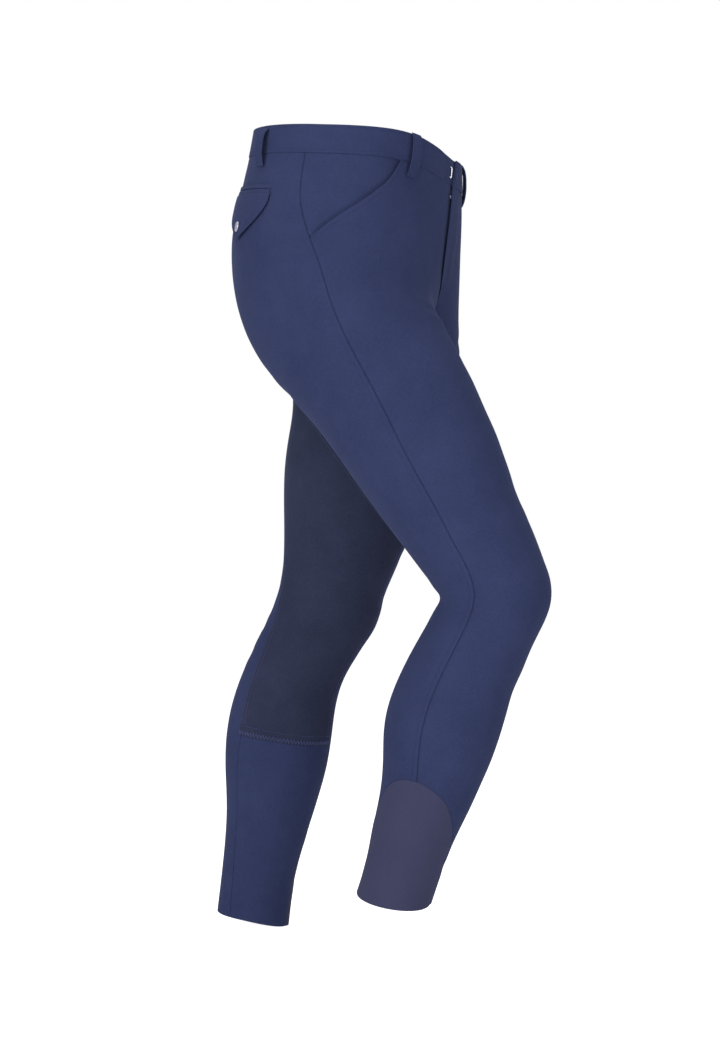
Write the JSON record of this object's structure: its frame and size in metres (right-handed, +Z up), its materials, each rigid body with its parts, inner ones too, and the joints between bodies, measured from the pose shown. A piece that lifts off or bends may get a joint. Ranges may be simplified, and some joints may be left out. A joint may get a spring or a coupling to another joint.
{
  "type": "riding breeches",
  "caption": "Riding breeches, hollow and filled out in mid stride: slanted front pockets, fly with zip, suede grip patches inside the knees, flap back pockets, stretch ankle inserts.",
  "frame": {"origin": "centre of the waist, in the middle of the opening at the top edge of the waistband", "axes": "+Z up, the front faces -Y, the wearer's right is at -X"},
  "size_m": [0.3554, 0.4975, 1.0106],
  "materials": {
    "navy_twill": "smooth matt stretch twill, navy blue",
    "suede": "napped suede cloth, dark navy, duller than the twill",
    "stretch_cloth": "fine stretch knit, plum grey",
    "zip_tape": "woven zip tape, dark navy",
    "metal": "bright nickel plate"
  },
  "bodies": {
    "root": {"front_right": "navy_twill", "front_left": "navy_twill", "back_right": "navy_twill", "back_left": "navy_twill", "pocket_facing_right": "navy_twill", "pocket_facing_left": "navy_twill", "ankle_insert_right": "stretch_cloth", "ankle_insert_left": "stretch_cloth", "grip_patch_right": "suede", "grip_patch_left": "suede", "waistband_left": "navy_twill", "waistband_right": "navy_twill", "fly_left": "navy_twill", "zip_tape": "zip_tape", "zip_slider": "metal", "waist_bar": "metal", "belt_loop_front_right": "navy_twill", "belt_loop_front_left": "navy_twill", "belt_loop_back_right": "navy_twill", "belt_loop_back_left": "navy_twill", "pocket_welt_right": "navy_twill", "pocket_welt_left": "navy_twill", "pocket_flap_right": "navy_twill", "pocket_flap_left": "navy_twill", "snap_right": "metal", "snap_left": "metal"}
  },
  "joints": []
}
